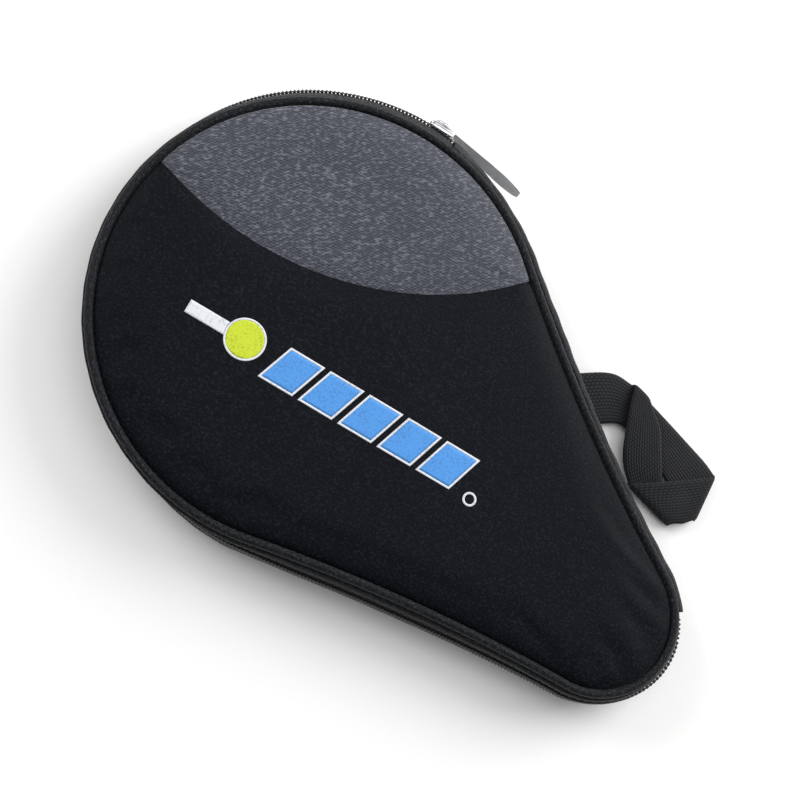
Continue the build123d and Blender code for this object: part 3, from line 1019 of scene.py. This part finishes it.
# Superellipse profile: cosine and sine raised to a power under one, which gives a soft rectangle
def roundedRing(middleOut, middleUp, halfOut, halfUp, count, square=0.5):
    t = np.linspace(0, tau, count, endpoint=False)
    cosine, sine = np.cos(t), np.sin(t)
    out = middleOut + halfOut * np.sign(cosine) * np.abs(cosine) ** square
    up = middleUp + halfUp * np.sign(sine) * np.abs(sine) ** square
    return out, up


binding = {"offset": 1.9, "height": 8.1, "halfOut": 1.05, "halfUp": 1.45, "pitch": 5.0}


# Folded tape over the raw seam inside. It ripples a little where the curve gathers it
def makeBinding(name, body, node, upside):
    s = np.linspace(0, aroundLength, 480, endpoint=False)[:, None]
    out, up = roundedRing(binding["offset"], binding["height"], binding["halfOut"], binding["halfUp"], 14)
    ripple = 0.14 * np.sin(tau * s / binding["pitch"]) * (up[None, :] > binding["height"])
    points = alongEdge(s, out[None, :] + ripple, up[None, :] + 0 * s, upside)
    piece = carried(name, points, "bindingCloth", closed=True)
    own(piece, body, "binding", node)


# Folded tab over the zip's end at the tail: a soft rectangle that closes down at both ends
def makeEndTab():
    s = np.linspace(zipLength - endTab["length"], zipLength, 26)[:, None]
    close = (1 - np.abs(np.linspace(-1, 1, 26)) ** 6)[:, None] ** 0.5
    out, up = roundedRing(0.0, 0.0, endTab["halfOut"], endTab["halfUp"], 16)
    out = endTab["offset"] + out[None, :] * (0.35 + 0.65 * close)
    up = endTab["height"] + up[None, :] * (0.7 + 0.3 * close)
    own(carried("zipEndTab", alongEdge(s, out, up), "wallBlack"), "base", "gusset_cloth", "zip_end_tab")


makeGusset()
makeBinding("backBinding", "base", "back_seam_binding", -1)
makeBinding("frontBinding", "lid", "front_seam_binding", 1)
makeEndTab()
print("walls, zip and gusset made")


slider = {
    "angle": 103.4,
    "plateSize": (1.2, 12.0, 8.4),
    "innerPlate": 1.4,
    "outerPlate": 7.0,
    "taper": 0.13,
    "flange": 0.9,
    "web": (5.6, 3.0, 0.5),
    "bridgeLine": [
        (-4.0, 6.9), (-3.9, 8.4), (-3.0, 9.5), (-1.4, 9.95), (1.4, 9.95), (3.0, 9.5), (3.9, 8.4), (4.0, 6.9),
    ],
    "bridgeHalf": (0.5, 1.0),
}
puller = {
    "offset": 8.7,
    "length": 37.0,
    "start": -5.0,
    "height": 7.0,
    "thick": 0.9,
    "recess": 0.36,
    "point": 0.34,
    "lean": 8.5,          # the tab's tip hangs in towards the case
    "twist": 20.0,        # and its upper edge leans out, more and more towards the tip
    "twistFrom": (6.0, 34.0),
}


# From the slider's own axes (out from the panel edge, along the zip, up) to the case's
def besideHead(local):
    turn = math.radians(slider["angle"])
    standOut = float(bulge(outline["headRadius"] * (turn - zipStart), midZ))
    out = outline["headRadius"] + standOut + local[..., 0]
    x = out * math.cos(turn) - local[..., 1] * math.sin(turn)
    y = out * math.sin(turn) + local[..., 1] * math.cos(turn)
    return np.stack([x, y, midZ + local[..., 2]], axis=-1)


# Several closed shells in one piece, each given as points and face arrays
def together(name, shells, finish):
    points, faces, start = [], [], 0
    for shell, groups in shells:
        points.append(shell)
        for group in groups:
            faces += (np.asarray(group) + start).tolist()
        start += len(shell)
    return makePiece(name, besideHead(np.concatenate(points)), faces, finish)


# Flat rounded block: a superellipsoid whose poles are at its top and bottom edges
def slab(size, place, square=0.3, rows=10, columns=32):
    points, faces = pebble(size, rows, columns, square)
    return points + np.array(place), faces


def makeSlider():
    shells = []
    for place in (slider["innerPlate"], slider["outerPlate"]):
        points, faces = slab(slider["plateSize"], (place, 0, 0), 0.32)
        points[:, 2] *= 1 - slider["taper"] * (points[:, 1] / 6 + 1)
        points[:, 0] += np.where(points[:, 0] > place, 0.25 * (1 - (points[:, 1] / 6) ** 2), 0)
        shells.append((points, faces))
    for side in (-1, 1):
        place = (slider["outerPlate"] - 0.8, 0, side * 3.5)
        points, faces = slab((slider["flange"] * 2, 11.0, 0.9), place, 0.4, 6, 20)
        points[:, 2] *= 1 - slider["taper"] * (points[:, 1] / 6 + 1)
        shells.append((points, faces))
    middle = (slider["innerPlate"] + slider["outerPlate"]) / 2
    shells.append(slab(slider["web"], (middle, 0, 0), 0.4, 4, 12))
    own(together("zipSlider", shells, "sliderChrome"), "slider", "zip_metal", "zip_slider")


# Flat bar bent into an arch: a soft rectangle carried along the arch's middle line
def makeBridge():
    line = smoothCurve(slider["bridgeLine"], 44)
    step = np.gradient(line, axis=0)
    side = np.stack([-step[:, 1], step[:, 0]], axis=-1) / np.linalg.norm(step, axis=1)[:, None]
    across, up = roundedRing(0.0, 0.0, *slider["bridgeHalf"], 14)
    along = line[:, None, 0] + side[:, None, 0] * across
    out = line[:, None, 1] + side[:, None, 1] * across
    points = np.stack([out, along, np.broadcast_to(up, out.shape)], axis=-1)
    piece = carried("sliderBridge", besideHead(points), "sliderChrome")
    own(piece, "slider", "zip_metal", "slider_bridge")


# Stamped tab: a soft slab that narrows to its tip, with a shallow panel pressed into both faces, two
# arms and the pin that passes under the bridge
def makePullTab():
    half = puller["length"] / 2
    points, faces = slab((puller["thick"], puller["length"], puller["height"]), (0, 0, 0), 0.26, 22, 56)
    far = np.clip(-points[:, 1] / half, 0, 1)
    points[:, 2] *= 1 - puller["point"] * far**3
    inner = (1 - (points[:, 1] / (half - 1.4)) ** 8) * (1 - (points[:, 2] / (puller["height"] / 2 - 1.0)) ** 6)
    points[:, 0] *= 1 - puller["recess"] * np.clip(inner * 3, 0, 1)
    shells = [(points + np.array([puller["offset"], puller["start"] - half, 0]), faces)]
    for side in (-1, 1):
        place = (puller["offset"], -2.5, side * 2.42)
        shells.append(slab((puller["thick"], 6.4, 2.1), place, 0.4, 6, 16))
    shells.append(slab((1.2, 1.2, 6.2), (puller["offset"], 0, 0), 0.8, 10, 14))
    lean = math.radians(puller["lean"])
    for points, _ in shells:
        twist = math.radians(puller["twist"]) * smoothStep(-points[:, 1], *puller["twistFrom"])
        away = points[:, 0] - puller["offset"]
        points[:, 0] = puller["offset"] + away * np.cos(twist) + points[:, 2] * np.sin(twist)
        points[:, 2] = points[:, 2] * np.cos(twist) - away * np.sin(twist)
        points[:, 0] += points[:, 1] * math.sin(lean)
    own(together("pullTab", shells, "pullerSatin"), "puller", "puller_metal", "pull_tab")


makeSlider()
makeBridge()
makePullTab()
print("slider and pull tab made")


strap = {
    "width": 20.0,
    "thick": 1.1,
    "rows": 300,
    "columns": 15,
    "sewnTop": 8.6,
    "root": 97.5,
    "wallOut": 5.2,
}


# Height of the hinge-side flank over the X axis, that far outside the panel edge
def flankLine(x, offset):
    radius = outline["flankRadius"] - offset
    return flankCentre[1] - np.sqrt(radius**2 - (x - flankCentre[0]) ** 2)


# The loop as lines across the webbing, one edge and the other, in the order the webbing runs: up the
# wall and out, folded back over itself beyond the case, down to the near fold, over itself to the far
# fold, and back underneath to the wall
def strapSections():
    rootA, rootB = strap["root"] - 13.0, strap["root"] + 9.3
    wallA = (rootA, flankLine(rootA, strap["wallOut"]))
    wallB = (rootB, flankLine(rootB, strap["wallOut"]))
    outA = (rootA + 1.5, flankLine(rootA + 1.5, strap["wallOut"] + 2.4))
    outB = (rootB + 1.5, flankLine(rootB + 1.5, strap["wallOut"] + 2.4))
    return [
        ((*wallA, 8.0), (*wallB, 8.0)),
        ((*wallA, 4.0), (*wallB, 4.0)),
        ((*outA, 1.4), (*outB, 1.4)),
        ((98.2, 80.6, 1.0), (114.0, 68.5, 1.0)),
        ((105.6, 84.4, 1.0), (119.6, 76.2, 1.0)),
        ((110.4, 86.3, 1.3), (119.0, 86.2, 1.3)),
        ((111.2, 87.3, 3.6), (119.4, 87.6, 3.8)),
        ((112.0, 86.2, 5.6), (121.4, 86.6, 6.0)),
        ((114.6, 80.6, 6.1), (125.6, 84.2, 6.7)),
        ((119.0, 73.6, 6.2), (131.4, 81.6, 6.9)),
        ((123.2, 67.4, 5.9), (136.2, 77.6, 6.6)),
        ((127.6, 62.0, 5.2), (141.4, 72.8, 6.1)),
        ((132.4, 58.0, 4.2), (147.0, 67.6, 5.2)),
        ((137.6, 55.4, 3.3), (154.6, 61.6, 3.6)),
        ((139.0, 54.3, 3.2), (163.0, 55.2, 2.9)),
        ((139.2, 54.0, 4.8), (163.6, 54.9, 4.0)),
        ((140.4, 55.8, 6.2), (164.6, 56.6, 4.8)),
        ((148.6, 65.4, 6.6), (167.2, 59.2, 4.9)),
        ((156.6, 75.0, 6.5), (168.2, 60.8, 4.9)),
        ((162.6, 83.0, 6.1), (169.6, 63.6, 4.9)),
        ((163.9, 85.2, 4.8), (170.6, 64.6, 4.0)),
        ((163.4, 85.8, 3.2), (169.8, 64.6, 2.9)),
        ((157.0, 86.8, 3.0), (160.4, 66.2, 2.6)),
        ((146.0, 87.0, 3.2), (148.8, 68.4, 2.8)),
        ((132.0, 87.2, 3.3), (137.4, 70.2, 2.9)),
        ((119.6, 87.2, 3.2), (126.8, 71.0, 3.0)),
        ((109.4, 86.6, 3.1), (119.4, 70.6, 3.0)),
        ((99.6, 82.6, 3.2), (114.6, 66.6, 3.1)),
        ((*outA, 4.2), (*outB, 4.2)),
        ((wallA[0], wallA[1] + 1.3, 6.0), (wallB[0], wallB[1] + 1.3, 6.0)),
        ((wallA[0], wallA[1] + 1.3, strap["sewnTop"]), (wallB[0], wallB[1] + 1.3, strap["sewnTop"])),
    ]


# Ribbon through the section lines: each point is on the line between the two edges, bowed a little
# across the width, and the ribbon is given its thickness along its own normal
def makeStrap():
    lines = smoothCurve(strapSections(), strap["rows"])
    across = np.linspace(0, 1, strap["columns"])[None, :, None]
    sheet = lines[:, None, 0] * (1 - across) + lines[:, None, 1] * across
    bow = 0.45 * np.sin(np.pi * across[..., 0]) * np.sin(np.linspace(0, 9, strap["rows"]))[:, None]
    down = np.gradient(sheet, axis=0)
    over = np.gradient(sheet, axis=1)
    normal = np.cross(down, over)
    normal = normal / np.linalg.norm(normal, axis=-1, keepdims=True)
    sheet = sheet + normal * bow[..., None] * 0.5
    half = strap["thick"] / 2
    rounding = np.sqrt(np.clip(1 - np.abs(2 * across - 1) ** 12, 0.02, 1))
    upper = sheet + normal * half * rounding
    lower = sheet - normal * half * rounding
    points = np.concatenate([upper, lower[:, ::-1]], axis=1)
    points[..., 2] = np.maximum(points[..., 2], 0.05)
    piece = carried("wristStrap", points, "webbing")
    own(piece, "base", "webbing", "wrist_strap")
    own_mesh(piece)


makeStrap()
print("wrist strap made")


emblem = {
    "turn": 15.8,
    "rowCorner": (-1.1, -34.1),
    "rowLength": 90.6,
    "bars": 5,
    "barWidth": 13.6,
    "barHeight": 14.8,
    "slant": 5.2,
    "rim": 0.9,
    "discCentre": (-15.6, -28.8),
    "discRadius": 7.6,
    "gripLength": 17.0,
    "gripWidth": 5.6,
    "dotCentre": (90.6, -8.2),
    "dotRadius": 2.9,
    "ink": 0.16,
}


def onPanel(local, centre):
    turn = math.radians(emblem["turn"])
    x = centre[0] + local[..., 0] * math.cos(turn) - local[..., 1] * math.sin(turn)
    y = centre[1] + local[..., 0] * math.sin(turn) + local[..., 1] * math.cos(turn)
    return np.stack([x, y, np.full_like(x, topZ + 12)], axis=-1)


# Turns an open sheet over if it looks down
def faceUp(piece):
    normals = np.empty(len(piece.data.polygons) * 3)
    piece.data.polygons.foreach_get("normal", normals)
    if normals[2::3].mean() < 0:
        piece.data.flip_normals()


# Flat grids dropped on the panel and given the ink's thickness. A ring's grid is closed
def makePrint(name, grids, finish, slot, node):
    points, faces, start = [], [], 0
    for grid, closed in grids:
        index = start + np.arange(grid.shape[0] * grid.shape[1]).reshape(grid.shape[:2])
        index = np.concatenate([index, index[:1]]) if closed else index
        points.append(grid.reshape(-1, 3))
        faces += gridFaces(index).tolist()
        start += grid.shape[0] * grid.shape[1]
    piece = makePiece(name, np.concatenate(points), faces, finish)
    faceUp(piece)
    drop = piece.modifiers.new("drop", "SHRINKWRAP")
    drop.target = mainPanel
    drop.wrap_method = "PROJECT"
    drop.use_project_z = True
    drop.use_negative_direction = True
    drop.use_positive_direction = False
    drop.offset = 0.03 * mm
    ink = piece.modifiers.new("ink", "SOLIDIFY")
    ink.thickness = emblem["ink"] * mm
    ink.offset = 1.0
    settle(piece)
    return own(piece, "lid", slot, node)


# Corners of one slanted bar, moved outwards by grow on every side
def barCorners(index, grow=0.0):
    step = (emblem["rowLength"] - emblem["slant"] - emblem["barWidth"]) / (emblem["bars"] - 1)
    lean = emblem["slant"] / emblem["barHeight"]
    side = grow * math.hypot(1, lean)
    low = index * step - side - lean * grow
    high = index * step + emblem["slant"] - side + lean * grow
    width = emblem["barWidth"] + 2 * side
    top = emblem["barHeight"] + grow
    return np.array([(low, -grow), (low + width, -grow), (high + width, top), (high, top)])


# Bilinear patch between four corners
def barGrid(corners, cells=14):
    u, v = np.meshgrid(np.linspace(0, 1, cells), np.linspace(0, 1, cells), indexing="ij")
    u, v = u[..., None], v[..., None]
    a, b, c, d = corners
    return (a * (1 - u) + b * u) * (1 - v) + (d * (1 - u) + c * u) * v


# Frame between two outlines of four corners: both are walked side by side
def frameGrid(inner, outer, cells=12):
    t = np.linspace(0, 4, 4 * cells, endpoint=False)
    side, f = t.astype(int), (t % 1)[:, None]
    walkIn = inner[side] * (1 - f) + np.roll(inner, -1, axis=0)[side] * f
    walkOut = outer[side] * (1 - f) + np.roll(outer, -1, axis=0)[side] * f
    return np.stack([walkIn, (walkIn + walkOut) / 2, walkOut], axis=1)


# Flat ring in polar steps. With an inner radius near zero it is a disc
def ringGrid(inner, outer, cells=64, across=3):
    t = np.linspace(0, tau, cells, endpoint=False)[:, None]
    radius = np.linspace(inner, outer, across)[None, :]
    return np.stack([radius * np.cos(t), radius * np.sin(t)], axis=-1)


def makeEmblem():
    bars = [barGrid(barCorners(i)) for i in range(emblem["bars"])]
    bars = [(onPanel(bar, emblem["rowCorner"]), False) for bar in bars]
    makePrint("emblemBars", bars, "inkBlue", "print_blue", "emblem_bars")
    rims = [frameGrid(barCorners(i, 0.04), barCorners(i, emblem["rim"])) for i in range(emblem["bars"])]
    rims = [(onPanel(rim, emblem["rowCorner"]), True) for rim in rims]
    makePrint("emblemBarRims", rims, "inkPale", "print_pale", "emblem_bar_rims")
    disc = emblem["discRadius"]
    u, v = np.meshgrid(np.linspace(-1, 1, 17), np.linspace(-1, 1, 17), indexing="ij")
    # square to disc: each side of the square bulges out to the circle
    patch = np.stack([u * np.sqrt(1 - v**2 / 2), v * np.sqrt(1 - u**2 / 2)], axis=-1) * disc
    patch = [(onPanel(patch, emblem["discCentre"]), False)]
    makePrint("emblemDisc", patch, "inkYellow", "print_yellow", "emblem_disc")
    rim = [(onPanel(ringGrid(disc + 0.04, disc + emblem["rim"]), emblem["discCentre"]), True)]
    makePrint("emblemDiscRim", rim, "inkPale", "print_pale", "emblem_disc_rim")
    # the grip starts on the disc's rim, so its near end follows the circle
    v = np.linspace(-1, 1, 9)[None, :] * emblem["gripWidth"] / 2
    near = -np.sqrt((disc + emblem["rim"] + 0.1) ** 2 - v**2)
    far = -(disc + emblem["rim"] + emblem["gripLength"])
    u = np.linspace(0, 1, 21)[:, None]
    grip = np.stack([near * (1 - u) + far * u, v + 0 * u], axis=-1)
    grip = [(onPanel(grip, emblem["discCentre"]), False)]
    makePrint("emblemGrip", grip, "inkPale", "print_pale", "emblem_grip")
    dot = ringGrid(emblem["dotRadius"] - emblem["rim"], emblem["dotRadius"], 40)
    makePrint("emblemDot", [(onPanel(dot, emblem["dotCentre"]), True)], "inkPale", "print_pale", "emblem_dot")


makeEmblem()
print("emblem printed")


def makeFloor():
    half = studio["floorSize"] / 2
    x, y = np.meshgrid(np.linspace(-half, half, 9), np.linspace(-half, half, 9), indexing="ij")
    points = np.stack([x, y, np.full_like(x, -0.05)], axis=-1)
    faces = gridFaces(np.arange(81).reshape(9, 9))[:, ::-1].tolist()
    floor = makePiece("paperFloor", points, faces, "paper")
    faceUp(floor)


makeFloor()
print("floor laid")
